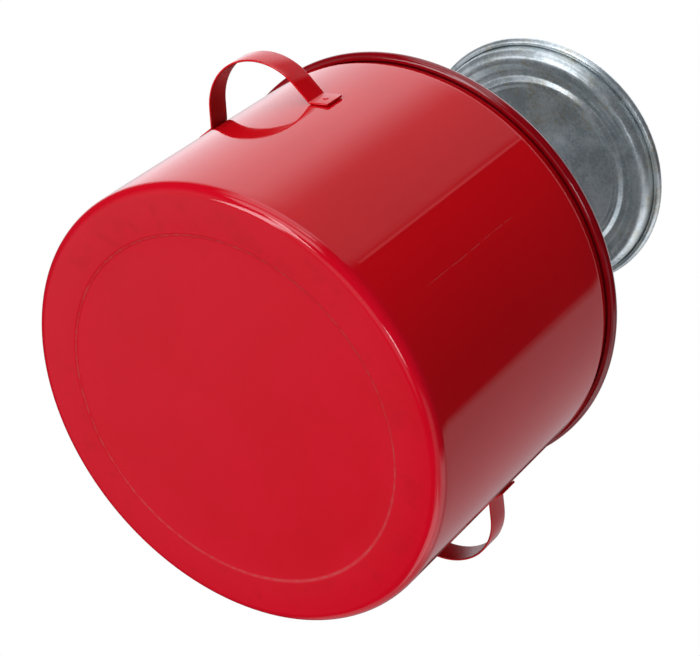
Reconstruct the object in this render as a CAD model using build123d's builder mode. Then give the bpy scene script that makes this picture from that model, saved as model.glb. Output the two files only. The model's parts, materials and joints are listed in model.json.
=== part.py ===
"""Plunger parts washer tank: a round steel can with two strap handles, a foot-mounted
pump barrel standing in its middle and a galvanised wash pan on the pump's hollow stem.

Pressing the pan pushes the piston down the barrel. The solvent below it lifts the delivery
ball and rises through the stem into the pan, and the spring then brings the pan back up.
The can stands on z = 0 with its axis on Z. Its handles lie along X. Millimetres.
"""
import os
from math import cos, radians, sin

from build123d import *

# ---------------------------------------------------------------- driving dimensions
SHEET = 0.8                 # steel sheet of the can and of the pan

CAN_RADIUS = 127.0          # outside of the wall
CHIME_RADIUS = 6.35         # rounded edge between the bottom and the wall
SKIRT_HEIGHT = 12.0         # height of the bottom's upturned skirt, where the wall starts
PANEL_RADIUS = 100.3        # pressed ring around the bottom's raised middle panel
PANEL_RISE = 0.6            # how far that panel stands clear of the bench
PANEL_STEP = 2.0            # width of the pressed step
PANEL_BEND = 1.0            # radius of both its bends
RIM_HEIGHT = 181.9          # centre of the rolled rim
RIM_BEAD_RADIUS = 3.0       # outside radius of the rolled rim
RIM_OUTER_RADIUS = 129.8    # greatest radius of the rolled rim
NECK_HEIGHT = 7.4           # from the start of the neck up to the rim's centre
ROLL_ANGLE = 290.0          # how far a rolled edge turns round its wire
NECK_BENDS = [4.0, 3.0]     # radii of the neck's two bends, from the wall to the rim
WIRE_SLACK = 0.1            # between a rolled edge and its wire
SEAM_ANGLE = 243.5          # where the wall's welded side seam runs
SEAM_WIDTH = 2.4
SEAM_PROUD = 0.25

HANDLE_LEAN = 2.6           # both handles sit this many degrees off the X axis, towards -Y
HANDLE_BOTTOM = 109.5       # lower edge of the strap
STRAP_WIDTH = 14.5
STRAP_THICKNESS = 1.2
STRAP_CROWN = 154.0         # radius of the strap's middle at the top of its arch
STRAP_SHOULDER = 22.6       # half width of the arch at its crown
CROWN_BEND = 34.0
FOOT_BEND = 2.0
FOOT_ANGLE = 16.4           # where each leg reaches the wall, from the handle's middle
TAB_ANGLE = 21.6            # where each tab ends
FOOT_GAP = 0.15             # between the wall and the strap at the foot
TAB_LIFT = 0.6              # between the wall and the strap at the tab's end
PLUG_WELD_RADIUS = 2.2
WELD_CROWN = 0.35           # how far a plug weld stands above its hole

BARREL_RADIUS = 16.0        # outside of the pump barrel
BARREL_BORE = 14.5
BARREL_TOP = 168.0
FOOT_RADIUS = 52.0          # flange that carries the pump
FOOT_THICKNESS = 1.5
COLLAR_TOP = 16.0           # top of the foot's upright collar
FOOT_WELDS = 6
FOOT_WELD_CIRCLE = 42.0
PORT_HEIGHT = 20.5          # middle of the barrel's intake ports
PORT_RADIUS = 2.5
PORTS = 6
STRAINER_TOP = 26.0
STRAINER_BORE = 16.5
STRAINER_HOLES = 24
STRAINER_HOLE_RADIUS = 0.9
STRAINER_HOLE_EDGE = 3.0    # from each end of the strainer to its ring of holes

SEAT_BOTTOM = 24.0          # foot valve seat
SEAT_TOP = 29.0
SEAT_ORIFICE = 4.5
SEAT_CONE = 1.5             # depth and width of the 45 degree seat
FOOT_BALL_RADIUS = 6.35
CAGE_BORE = 7.5
CAGE_WALL = 1.1
CAGE_TOP = 45.2
CAGE_SHEET = 1.2
CAGE_SLOT_HEIGHT = 10.0     # of the four slots, each as wide as the cage's bore
BALL_CLEARANCE = 0.3        # between a ball at rest and its seat

SPRING_WIRE = 2.0
SPRING_MEAN_RADIUS = 11.4
SPRING_TURNS = 16.5
END_CLEARANCE = 0.1         # between the spring's ends and what they bear on

PISTON_BOTTOM = 147.0
PISTON_TOP = 165.0
RUNNING_CLEARANCE = 0.05    # radial, of each running fit
PISTON_RADIUS = 14.35
CUP_BOTTOM = 153.0          # groove for the piston's cup seal
CUP_TOP = 159.0
CUP_INNER_RADIUS = 11.85
PISTON_ORIFICE = 3.3
PISTON_CONE = 2.0
CONE_BOTTOM = 149.2
DELIVERY_BALL_RADIUS = 4.75
PIN_HEIGHT = 163.5
PIN_RADIUS = 1.25
PIN_HALF_LENGTH = 13.0
SEAT_WASHER = 1.0           # thickness of the washer on top of the spring
BUMPER_TOP = 167.4
BUMPER_RADIUS = 13.0
BUMPER_EDGE = 0.8           # rounding of its upper edges

STEM_RADIUS = 8.0
STEM_BORE = 6.4
STEM_BOTTOM = 154.0
CAP_RADIUS = 19.0
CAP_BOTTOM = 154.0
CAP_TOP = 180.0
CAP_CHAMFER = 1.0
CAP_FLUTES = 24
FLUTE_RADIUS = 1.1
BUSH_RADIUS = 11.0
BUSH_FLANGE = 14.0
BUSH_TOP = 181.5

PAN_FLOOR = 328.5           # underside of the pan's flat middle
PAN_RIM_HEIGHT = 335.8      # centre of the pan's rolled edge
PAN_RADIUS = 82.7           # outside of the pan's rolled edge
PAN_BEAD_RADIUS = 2.6
STIFFENING_RING = 57.2      # middle of the ring pressed into the floor
STIFFENING_DEPTH = 2.5
STIFFENING_HALF_WIDTH = 3.8
GUTTER_INNER = 65.5         # where the floor drops into the gutter round its edge
GUTTER_SLOPE = 5.0
GUTTER_DEPTH = 4.5
PAN_BENDS = [3.0, 2.5, 3.0, 5.0, 5.0, 5.2]  # radii of its bends, from the middle outwards
DRAIN_HOLES = 10
DRAIN_CIRCLE = 15.8
DRAIN_RADIUS = 1.5
COLLAR_RADIUS = 12.5        # brazed collar under the pan
COLLAR_HEIGHT = 7.5
COLLAR_CHAMFER = 2.5        # of its lower edge
WASHER_RADIUS = 13.0
WASHER_THICKNESS = 1.0
NUT_HALF_WIDTH = 11.0       # half of the pan nut's width across its flats
NUT_HEIGHT = 5.0
OUTLET_RADIUS = 10.0
OUTLET_HEIGHT = 6.5
OUTLET_EDGE = 3.0
OUTLET_BORE = 5.0
OUTLET_PORTS = 8
OUTLET_PORT_RADIUS = 1.3

CUTTER_LENGTH = 1000.0      # of a tool that cuts right through, centred on z = 0
PORT_CUTTER = 15.0          # reaches from outside the outlet cap into its bore
WELD_CUTTER = 4.8           # reaches from inside the can through a handle's tab

# ---------------------------------------------------------------- sizes that follow
HALF_SHEET = SHEET / 2
WALL_LINE = CAN_RADIUS - HALF_SHEET                 # middle of the wall's sheet
RIM_LINE = RIM_BEAD_RADIUS - HALF_SHEET             # middle of the rolled sheet
RIM_CENTRE = RIM_OUTER_RADIUS - RIM_BEAD_RADIUS
RIM_WIRE = RIM_BEAD_RADIUS - SHEET - WIRE_SLACK
CHIME_LINE = CHIME_RADIUS - HALF_SHEET
PAN_LINE = PAN_BEAD_RADIUS - HALF_SHEET
PAN_RIM_CENTRE = PAN_RADIUS - PAN_BEAD_RADIUS
PAN_WIRE = PAN_BEAD_RADIUS - SHEET - WIRE_SLACK
FLOOR_LINE = PAN_FLOOR + HALF_SHEET
FLOOR_TOP = PAN_FLOOR + SHEET
WASHER_TOP = FLOOR_TOP + WASHER_THICKNESS
NUT_TOP = WASHER_TOP + NUT_HEIGHT
PANEL_TOP = PANEL_RISE + SHEET
FOOT_TOP = PANEL_TOP + FOOT_THICKNESS
STRAINER_RADIUS = BARREL_RADIUS + FOOT_THICKNESS     # also of the foot's collar
CAGE_FLANGE_TOP = SEAT_TOP + CAGE_SHEET
SEAT_WASHER_BOTTOM = PISTON_BOTTOM - SEAT_WASHER
ROOT_TWO = 2 ** 0.5

os.makedirs("parts", exist_ok=True)


def ball_height(radius, cone_bottom, orifice):
    """Height of a ball's centre that rests on a 45 degree seat with its clearance."""
    return cone_bottom - orifice + (radius + BALL_CLEARANCE) * ROOT_TWO


def on_circle(radius, angle):
    """Point in the plane of the can's section at a radius and an angle in degrees."""
    return (radius * cos(radians(angle)), radius * sin(radians(angle)))


def handle_plane(angle, height=0.0):
    """Plane across the can's axis whose X axis points at the given angle."""
    direction = on_circle(1.0, angle)
    return Plane(origin=(0, 0, height), x_dir=(*direction, 0), z_dir=(0, 0, 1))


# ================================================================ the can
# ---- can_bottom: pressed end with a raised panel, a rounded chime and a short skirt
with BuildPart() as can_bottom:
    with BuildSketch(Plane.XZ):
        with BuildLine():
            FilletPolyline(
                (0, PANEL_RISE + HALF_SHEET),
                (PANEL_RADIUS - PANEL_STEP / 2, PANEL_RISE + HALF_SHEET),
                (PANEL_RADIUS + PANEL_STEP / 2, HALF_SHEET),
                (WALL_LINE, HALF_SHEET),
                (WALL_LINE, SKIRT_HEIGHT),
                radius=[PANEL_BEND, PANEL_BEND, CHIME_LINE],
            )
        trace(line_width=SHEET)
    revolve(axis=Axis.Z)

# ---- can_wall: rolled cylinder with a welded side seam, a neck and a wired rim
with BuildPart() as can_wall:
    with BuildSketch(Plane.XZ):
        with BuildLine():
            FilletPolyline(
                (WALL_LINE, SKIRT_HEIGHT),
                (WALL_LINE, RIM_HEIGHT - NECK_HEIGHT),
                (RIM_CENTRE - RIM_LINE, RIM_HEIGHT - NECK_HEIGHT / 2),
                (RIM_CENTRE - RIM_LINE, RIM_HEIGHT),
                radius=NECK_BENDS,
            )
            CenterArc((RIM_CENTRE, RIM_HEIGHT), RIM_LINE, 180, -ROLL_ANGLE)
        trace(line_width=SHEET)
    revolve(axis=Axis.Z)
    with BuildSketch(handle_plane(SEAM_ANGLE, SKIRT_HEIGHT)):
        with Locations((CAN_RADIUS - HALF_SHEET + SEAM_PROUD / 2, 0)):
            Rectangle(SHEET + SEAM_PROUD, SEAM_WIDTH)
    extrude(amount=RIM_HEIGHT - NECK_HEIGHT - SKIRT_HEIGHT - SEAM_WIDTH)

# ---- rim_wire: steel wire inside the rolled rim
with BuildPart() as rim_wire:
    with BuildSketch(Plane.XZ):
        with Locations((RIM_CENTRE, RIM_HEIGHT)):
            Circle(RIM_WIRE)
    revolve(axis=Axis.Z)


# ================================================================ the handles
def strap_point(angle, gap):
    """Point on the strap's middle line, standing off the wall by a gap at an angle."""
    return on_circle(CAN_RADIUS + gap + STRAP_THICKNESS / 2, angle)


def tab_plane(handle_angle, side):
    """Plane on the wall under the middle of one tab, facing outwards."""
    angle = handle_angle + side * (FOOT_ANGLE + TAB_ANGLE) / 2
    normal = on_circle(1.0, angle)
    height = HANDLE_BOTTOM + STRAP_WIDTH / 2
    origin = (*on_circle(CAN_RADIUS - SHEET, angle), height)
    return Plane(origin=origin, x_dir=(0, 0, 1), z_dir=(*normal, 0))


def build_handle(angle):
    """Flat strap bent into an arch, with a tab turned out at each foot and a weld hole in it."""
    foot = strap_point(FOOT_ANGLE, FOOT_GAP)
    end = strap_point(TAB_ANGLE, TAB_LIFT)
    with BuildPart() as handle:
        with BuildSketch(handle_plane(angle, HANDLE_BOTTOM)):
            with BuildLine():
                FilletPolyline(
                    end,
                    foot,
                    (STRAP_CROWN, STRAP_SHOULDER),
                    (STRAP_CROWN, -STRAP_SHOULDER),
                    (foot[0], -foot[1]),
                    (end[0], -end[1]),
                    radius=[FOOT_BEND, CROWN_BEND, CROWN_BEND, FOOT_BEND],
                )
            trace(line_width=STRAP_THICKNESS)
        extrude(amount=STRAP_WIDTH)
        for side in (-1, 1):
            with BuildSketch(tab_plane(angle, side)):
                Circle(PLUG_WELD_RADIUS)
            extrude(amount=WELD_CUTTER, mode=Mode.SUBTRACT)
    return handle


RIGHT_ANGLE = -HANDLE_LEAN
LEFT_ANGLE = 180 + HANDLE_LEAN
handle_right = build_handle(RIGHT_ANGLE)
handle_left = build_handle(LEFT_ANGLE)

# ---- handle_plug_welds: one weld through each of the four tabs
MEAN_TAB_GAP = (FOOT_GAP + TAB_LIFT) / 2
with BuildPart() as handle_plug_welds:
    for handle_angle in (RIGHT_ANGLE, LEFT_ANGLE):
        for side in (-1, 1):
            with BuildSketch(tab_plane(handle_angle, side)):
                Circle(PLUG_WELD_RADIUS)
            extrude(amount=SHEET + MEAN_TAB_GAP + STRAP_THICKNESS + WELD_CROWN)
    Cylinder(CAN_RADIUS, CUTTER_LENGTH, mode=Mode.SUBTRACT)

# ================================================================ the pump's fixed parts
# ---- pump_foot: flange welded to the can's bottom, with a collar that holds the barrel
with BuildPart() as pump_foot:
    with BuildSketch(Plane.XY.offset(PANEL_TOP)):
        Circle(FOOT_RADIUS)
        with PolarLocations(FOOT_WELD_CIRCLE, FOOT_WELDS):
            Circle(PLUG_WELD_RADIUS, mode=Mode.SUBTRACT)
    extrude(amount=FOOT_THICKNESS)
    with BuildSketch(Plane.XY.offset(FOOT_TOP)):
        Circle(STRAINER_RADIUS)
        Circle(BARREL_RADIUS, mode=Mode.SUBTRACT)
    extrude(amount=COLLAR_TOP - FOOT_TOP)

# ---- foot_plug_welds: ring of welds through the flange
with BuildPart() as foot_plug_welds:
    with BuildSketch(Plane.XY.offset(PANEL_TOP)):
        with PolarLocations(FOOT_WELD_CIRCLE, FOOT_WELDS):
            Circle(PLUG_WELD_RADIUS)
    extrude(amount=FOOT_THICKNESS + WELD_CROWN)

# ---- pump_barrel: brass tube with intake ports just above the collar
with BuildPart() as pump_barrel:
    with BuildSketch(Plane.XY.offset(FOOT_TOP)):
        Circle(BARREL_RADIUS)
        Circle(BARREL_BORE, mode=Mode.SUBTRACT)
    extrude(amount=BARREL_TOP - FOOT_TOP)
    with Locations((0, 0, PORT_HEIGHT)):
        with PolarLocations(BARREL_RADIUS, PORTS):
            Cylinder(PORT_RADIUS, BARREL_RADIUS, rotation=(0, 90, 0), mode=Mode.SUBTRACT)

# ---- intake_strainer: perforated sleeve round the ports, standing on the collar
with BuildPart() as intake_strainer:
    with BuildSketch(Plane.XY.offset(COLLAR_TOP)):
        Circle(STRAINER_RADIUS)
        Circle(STRAINER_BORE, mode=Mode.SUBTRACT)
    extrude(amount=STRAINER_TOP - COLLAR_TOP)
    low_ring = COLLAR_TOP + STRAINER_HOLE_EDGE
    high_ring = STRAINER_TOP - STRAINER_HOLE_EDGE
    with Locations((0, 0, low_ring), (0, 0, high_ring)):
        with PolarLocations(STRAINER_RADIUS, STRAINER_HOLES):
            Cylinder(
                STRAINER_HOLE_RADIUS,
                2 * FOOT_THICKNESS,
                rotation=(0, 90, 0),
                mode=Mode.SUBTRACT,
            )

# ---- foot_valve_seat: disc pressed into the barrel above the ports
with BuildPart() as foot_valve_seat:
    with BuildSketch(Plane.XZ):
        with BuildLine():
            Polyline(
                (SEAT_ORIFICE, SEAT_BOTTOM),
                (BARREL_BORE, SEAT_BOTTOM),
                (BARREL_BORE, SEAT_TOP),
                (SEAT_ORIFICE + SEAT_CONE, SEAT_TOP),
                (SEAT_ORIFICE, SEAT_TOP - SEAT_CONE),
                close=True,
            )
        make_face()
    revolve(axis=Axis.Z)

# ---- foot_valve_ball: steel ball that lets solvent up into the barrel
FOOT_BALL_HEIGHT = ball_height(FOOT_BALL_RADIUS, SEAT_TOP - SEAT_CONE, SEAT_ORIFICE)
with BuildPart() as foot_valve_ball:
    with Locations((0, 0, FOOT_BALL_HEIGHT)):
        Sphere(FOOT_BALL_RADIUS)

# ---- ball_cage: slotted cup that keeps the foot ball in place and carries the spring
with BuildPart() as ball_cage:
    with BuildSketch(Plane.XY.offset(SEAT_TOP)):
        Circle(BARREL_BORE)
        Circle(CAGE_BORE, mode=Mode.SUBTRACT)
    extrude(amount=CAGE_SHEET)
    with BuildSketch(Plane.XY.offset(SEAT_TOP)):
        Circle(CAGE_BORE + CAGE_WALL)
        Circle(CAGE_BORE, mode=Mode.SUBTRACT)
    extrude(amount=CAGE_TOP - SEAT_TOP)
    with BuildSketch(Plane.XY.offset(CAGE_TOP - CAGE_SHEET)):
        Circle(CAGE_BORE)
        Circle(CAGE_BORE / 2, mode=Mode.SUBTRACT)
    extrude(amount=CAGE_SHEET)
    with Locations((0, 0, (CAGE_FLANGE_TOP + CAGE_TOP) / 2)):
        Box(2 * BARREL_BORE, CAGE_BORE, CAGE_SLOT_HEIGHT, mode=Mode.SUBTRACT)
        Box(CAGE_BORE, 2 * BARREL_BORE, CAGE_SLOT_HEIGHT, mode=Mode.SUBTRACT)

# ---- barrel_cap: knurled cap over the barrel's top end
with BuildPart() as barrel_cap:
    with BuildSketch(Plane.XY.offset(CAP_BOTTOM)):
        Circle(CAP_RADIUS)
    extrude(amount=CAP_TOP - CAP_BOTTOM)
    chamfer(barrel_cap.edges().filter_by(GeomType.CIRCLE), length=CAP_CHAMFER)
    with BuildSketch(Plane.XY.offset(CAP_BOTTOM)):
        Circle(BARREL_RADIUS)
    extrude(amount=BARREL_TOP - CAP_BOTTOM, mode=Mode.SUBTRACT)
    with BuildSketch(Plane.XY.offset(CAP_BOTTOM)):
        Circle(BUSH_RADIUS)
    extrude(amount=CAP_TOP - CAP_BOTTOM, mode=Mode.SUBTRACT)
    with BuildSketch(Plane.XY.offset(CAP_BOTTOM)):
        with PolarLocations(CAP_RADIUS + FLUTE_RADIUS / 2, CAP_FLUTES):
            Circle(FLUTE_RADIUS)
    extrude(amount=CAP_TOP - CAP_BOTTOM, mode=Mode.SUBTRACT)

# ---- stem_bush: flanged bronze bush in the cap, in which the stem runs
with BuildPart() as stem_bush:
    with BuildSketch(Plane.XY.offset(BARREL_TOP)):
        Circle(BUSH_RADIUS)
    extrude(amount=CAP_TOP - BARREL_TOP)
    with BuildSketch(Plane.XY.offset(CAP_TOP)):
        Circle(BUSH_FLANGE)
    extrude(amount=BUSH_TOP - CAP_TOP)
    Cylinder(STEM_RADIUS + RUNNING_CLEARANCE, CUTTER_LENGTH, mode=Mode.SUBTRACT)

# ================================================================ the pump's moving parts
# ---- return_spring: compression spring between the cage and the washer under the piston
SPRING_LOW = CAGE_FLANGE_TOP + END_CLEARANCE + SPRING_WIRE / 2
SPRING_HIGH = SEAT_WASHER_BOTTOM - END_CLEARANCE - SPRING_WIRE / 2
SPRING_LENGTH = SPRING_HIGH - SPRING_LOW
with BuildPart() as return_spring:
    with BuildLine():
        coil = Helix(
            pitch=SPRING_LENGTH / SPRING_TURNS,
            height=SPRING_LENGTH,
            radius=SPRING_MEAN_RADIUS,
            center=(0, 0, SPRING_LOW),
        )
    with BuildSketch(Plane(origin=coil @ 0, z_dir=coil % 0)):
        Circle(SPRING_WIRE / 2)
    sweep(is_frenet=True)

# ---- spring_seat_washer: slides with the spring, and the piston turns on it
with BuildPart() as spring_seat_washer:
    with BuildSketch(Plane.XY.offset(SEAT_WASHER_BOTTOM)):
        Circle(PISTON_RADIUS)
        Circle(CAGE_BORE, mode=Mode.SUBTRACT)
    extrude(amount=SEAT_WASHER - END_CLEARANCE)

# ---- piston: bronze body with the delivery valve's seat and a socket for the stem
with BuildPart() as piston:
    with BuildSketch(Plane.XZ):
        with BuildLine():
            Polyline(
                (PISTON_ORIFICE, PISTON_BOTTOM),
                (PISTON_RADIUS, PISTON_BOTTOM),
                (PISTON_RADIUS, CUP_BOTTOM),
                (CUP_INNER_RADIUS, CUP_BOTTOM),
                (CUP_INNER_RADIUS, CUP_TOP),
                (PISTON_RADIUS, CUP_TOP),
                (PISTON_RADIUS, PISTON_TOP),
                (STEM_RADIUS, PISTON_TOP),
                (STEM_RADIUS, STEM_BOTTOM),
                (STEM_BORE, STEM_BOTTOM),
                (STEM_BORE, CONE_BOTTOM + PISTON_CONE),
                (PISTON_ORIFICE + PISTON_CONE, CONE_BOTTOM + PISTON_CONE),
                (PISTON_ORIFICE, CONE_BOTTOM),
                close=True,
            )
        make_face()
    revolve(axis=Axis.Z)
    with Locations((0, 0, PIN_HEIGHT)):
        Cylinder(PIN_RADIUS, 2 * PIN_HALF_LENGTH, rotation=(0, 90, 0), mode=Mode.SUBTRACT)

# ---- piston_cup: seal ring in the piston's groove
with BuildPart() as piston_cup:
    with BuildSketch(Plane.XY.offset(CUP_BOTTOM)):
        Circle(BARREL_BORE - RUNNING_CLEARANCE)
        Circle(CUP_INNER_RADIUS, mode=Mode.SUBTRACT)
    extrude(amount=CUP_TOP - CUP_BOTTOM)

# ---- piston_pin: holds the piston on the stem and keeps the delivery ball down
with BuildPart() as piston_pin:
    with Locations((0, 0, PIN_HEIGHT)):
        Cylinder(PIN_RADIUS, 2 * PIN_HALF_LENGTH, rotation=(0, 90, 0))

# ---- delivery_ball: steel ball that lets solvent up into the stem
DELIVERY_BALL_HEIGHT = ball_height(DELIVERY_BALL_RADIUS, CONE_BOTTOM, PISTON_ORIFICE)
with BuildPart() as delivery_ball:
    with Locations((0, 0, DELIVERY_BALL_HEIGHT)):
        Sphere(DELIVERY_BALL_RADIUS)

# ---- piston_bumper: rubber ring that meets the cap when the pan is fully up
with BuildPart() as piston_bumper:
    with BuildSketch(Plane.XY.offset(PISTON_TOP)):
        Circle(BUMPER_RADIUS)
        Circle(STEM_RADIUS, mode=Mode.SUBTRACT)
    extrude(amount=BUMPER_TOP - PISTON_TOP)
    fillet(piston_bumper.faces().sort_by(Axis.Z)[-1].edges(), radius=BUMPER_EDGE)

# ---- stem_tube: hollow stem from the piston up through the pan
with BuildPart() as stem_tube:
    with BuildSketch(Plane.XY.offset(STEM_BOTTOM)):
        Circle(STEM_RADIUS)
        Circle(STEM_BORE, mode=Mode.SUBTRACT)
    extrude(amount=NUT_TOP - STEM_BOTTOM)
    with Locations((0, 0, PIN_HEIGHT)):
        Cylinder(PIN_RADIUS, 2 * PIN_HALF_LENGTH, rotation=(0, 90, 0), mode=Mode.SUBTRACT)

# ================================================================ the pan
# ---- wash_pan: shallow galvanised dish with a pressed ring, a gutter and a wired rim
GUTTER_LINE = FLOOR_LINE - GUTTER_DEPTH
with BuildPart() as wash_pan:
    with BuildSketch(Plane.XZ):
        with BuildLine():
            FilletPolyline(
                (STEM_RADIUS + RUNNING_CLEARANCE, FLOOR_LINE),
                (STIFFENING_RING - STIFFENING_HALF_WIDTH, FLOOR_LINE),
                (STIFFENING_RING, FLOOR_LINE - STIFFENING_DEPTH),
                (STIFFENING_RING + STIFFENING_HALF_WIDTH, FLOOR_LINE),
                (GUTTER_INNER, FLOOR_LINE),
                (GUTTER_INNER + GUTTER_SLOPE, GUTTER_LINE),
                (PAN_RIM_CENTRE - PAN_LINE, GUTTER_LINE),
                (PAN_RIM_CENTRE - PAN_LINE, PAN_RIM_HEIGHT),
                radius=PAN_BENDS,
            )
            CenterArc((PAN_RIM_CENTRE, PAN_RIM_HEIGHT), PAN_LINE, 180, -ROLL_ANGLE)
        trace(line_width=SHEET)
    revolve(axis=Axis.Z)
    with BuildSketch(Plane.XY.offset(PAN_FLOOR)):
        with PolarLocations(DRAIN_CIRCLE, DRAIN_HOLES):
            Circle(DRAIN_RADIUS)
    extrude(amount=SHEET, mode=Mode.SUBTRACT)

# ---- pan_rim_wire: steel wire inside the pan's rolled edge
with BuildPart() as pan_rim_wire:
    with BuildSketch(Plane.XZ):
        with Locations((PAN_RIM_CENTRE, PAN_RIM_HEIGHT)):
            Circle(PAN_WIRE)
    revolve(axis=Axis.Z)

# ---- stem_collar: collar brazed to the stem, on which the pan sits
with BuildPart() as stem_collar:
    with BuildSketch(Plane.XY.offset(PAN_FLOOR - COLLAR_HEIGHT)):
        Circle(COLLAR_RADIUS)
    extrude(amount=COLLAR_HEIGHT)
    chamfer(stem_collar.faces().sort_by(Axis.Z)[0].edges(), length=COLLAR_CHAMFER)
    Cylinder(STEM_RADIUS, CUTTER_LENGTH, mode=Mode.SUBTRACT)

# ---- pan_washer: fibre washer between the pan and its nut
with BuildPart() as pan_washer:
    with BuildSketch(Plane.XY.offset(FLOOR_TOP)):
        Circle(WASHER_RADIUS)
        Circle(STEM_RADIUS, mode=Mode.SUBTRACT)
    extrude(amount=WASHER_THICKNESS)

# ---- pan_nut: hexagon nut that clamps the pan down on the collar
with BuildPart() as pan_nut:
    with BuildSketch(Plane.XY.offset(WASHER_TOP)):
        RegularPolygon(radius=NUT_HALF_WIDTH, side_count=6, major_radius=False)
        Circle(STEM_RADIUS, mode=Mode.SUBTRACT)
    extrude(amount=NUT_HEIGHT)

# ---- outlet_cap: domed rose on the stem's end, whose side ports feed the pan
with BuildPart() as outlet_cap:
    with BuildSketch(Plane.XY.offset(NUT_TOP)):
        Circle(OUTLET_RADIUS)
    extrude(amount=OUTLET_HEIGHT)
    fillet(outlet_cap.faces().sort_by(Axis.Z)[-1].edges(), radius=OUTLET_EDGE)
    with BuildSketch(Plane.XY.offset(WASHER_TOP)):
        Circle(STEM_BORE)
    extrude(amount=NUT_HEIGHT)
    with BuildSketch(Plane.XY.offset(WASHER_TOP)):
        Circle(OUTLET_BORE)
    extrude(amount=NUT_HEIGHT + OUTLET_HEIGHT / 2, mode=Mode.SUBTRACT)
    with Locations((0, 0, NUT_TOP + OUTLET_HEIGHT / 4)):
        with PolarLocations(OUTLET_RADIUS, OUTLET_PORTS):
            Cylinder(OUTLET_PORT_RADIUS, PORT_CUTTER, rotation=(0, 90, 0), mode=Mode.SUBTRACT)

# ================================================================ names and files
pieces = {
    "can_bottom": can_bottom,
    "can_wall": can_wall,
    "rim_wire": rim_wire,
    "handle_right": handle_right,
    "handle_left": handle_left,
    "handle_plug_welds": handle_plug_welds,
    "pump_foot": pump_foot,
    "foot_plug_welds": foot_plug_welds,
    "pump_barrel": pump_barrel,
    "intake_strainer": intake_strainer,
    "foot_valve_seat": foot_valve_seat,
    "foot_valve_ball": foot_valve_ball,
    "ball_cage": ball_cage,
    "barrel_cap": barrel_cap,
    "stem_bush": stem_bush,
    "return_spring": return_spring,
    "spring_seat_washer": spring_seat_washer,
    "piston": piston,
    "piston_cup": piston_cup,
    "piston_pin": piston_pin,
    "delivery_ball": delivery_ball,
    "piston_bumper": piston_bumper,
    "stem_tube": stem_tube,
    "wash_pan": wash_pan,
    "pan_rim_wire": pan_rim_wire,
    "stem_collar": stem_collar,
    "pan_washer": pan_washer,
    "pan_nut": pan_nut,
    "outlet_cap": outlet_cap,
}
for name, piece in pieces.items():
    piece.part.label = name
    export_step(piece.part, f"parts/{name}.step")
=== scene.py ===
"""Looks of a plunger parts washer: a red enamelled can with two strap handles, and a galvanised
wash pan on the stem of the brass pump that stands in the can.

Sizes are in millimetres in the row frame, and meshes and cameras turn them into metres.
"""

import json
import logging
from collections.abc import Callable, Sequence
from dataclasses import dataclass
from enum import Enum
from math import acos, cos, degrees, hypot, pi, radians, sin, sqrt, tan
from typing import ClassVar

import bpy
from mathutils import Matrix, Quaternion, Vector


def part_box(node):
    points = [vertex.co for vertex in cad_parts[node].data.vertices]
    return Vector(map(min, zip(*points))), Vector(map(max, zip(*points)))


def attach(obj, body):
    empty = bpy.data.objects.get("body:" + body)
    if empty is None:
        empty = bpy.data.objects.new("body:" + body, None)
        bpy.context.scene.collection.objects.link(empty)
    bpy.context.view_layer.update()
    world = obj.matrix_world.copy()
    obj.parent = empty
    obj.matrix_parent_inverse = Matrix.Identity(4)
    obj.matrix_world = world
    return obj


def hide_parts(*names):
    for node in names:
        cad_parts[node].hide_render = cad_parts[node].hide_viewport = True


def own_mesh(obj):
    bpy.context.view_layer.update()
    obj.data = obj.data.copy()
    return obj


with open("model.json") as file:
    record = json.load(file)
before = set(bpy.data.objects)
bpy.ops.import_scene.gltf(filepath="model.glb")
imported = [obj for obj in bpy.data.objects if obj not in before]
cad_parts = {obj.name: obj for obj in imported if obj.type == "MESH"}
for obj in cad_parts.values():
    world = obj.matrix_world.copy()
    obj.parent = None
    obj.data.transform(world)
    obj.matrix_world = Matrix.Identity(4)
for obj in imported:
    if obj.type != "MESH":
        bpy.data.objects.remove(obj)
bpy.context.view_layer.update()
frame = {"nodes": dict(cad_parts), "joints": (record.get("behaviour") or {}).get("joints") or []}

LOG = logging.getLogger("parts_washer")
MM = 0.001
SMOOTH_BELOW = radians(38)
FULL_TURN = 360.0
QUARTER_TURN = 90.0
ON_AXIS = 1e-6
WELD_FACETS = 36

Point2 = tuple[float, float]
Point3 = tuple[float, float, float]
Colour = tuple[float, float, float]
Number = "Value | float"
Socket = bpy.types.NodeSocket
Material = bpy.types.Material
Piece = bpy.types.Object


def node_box(node: str) -> tuple[Vector, Vector]:
    """A CAD node's lowest and highest corner at rest, in millimetres."""
    low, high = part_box(node)
    return low / MM, high / MM


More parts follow.
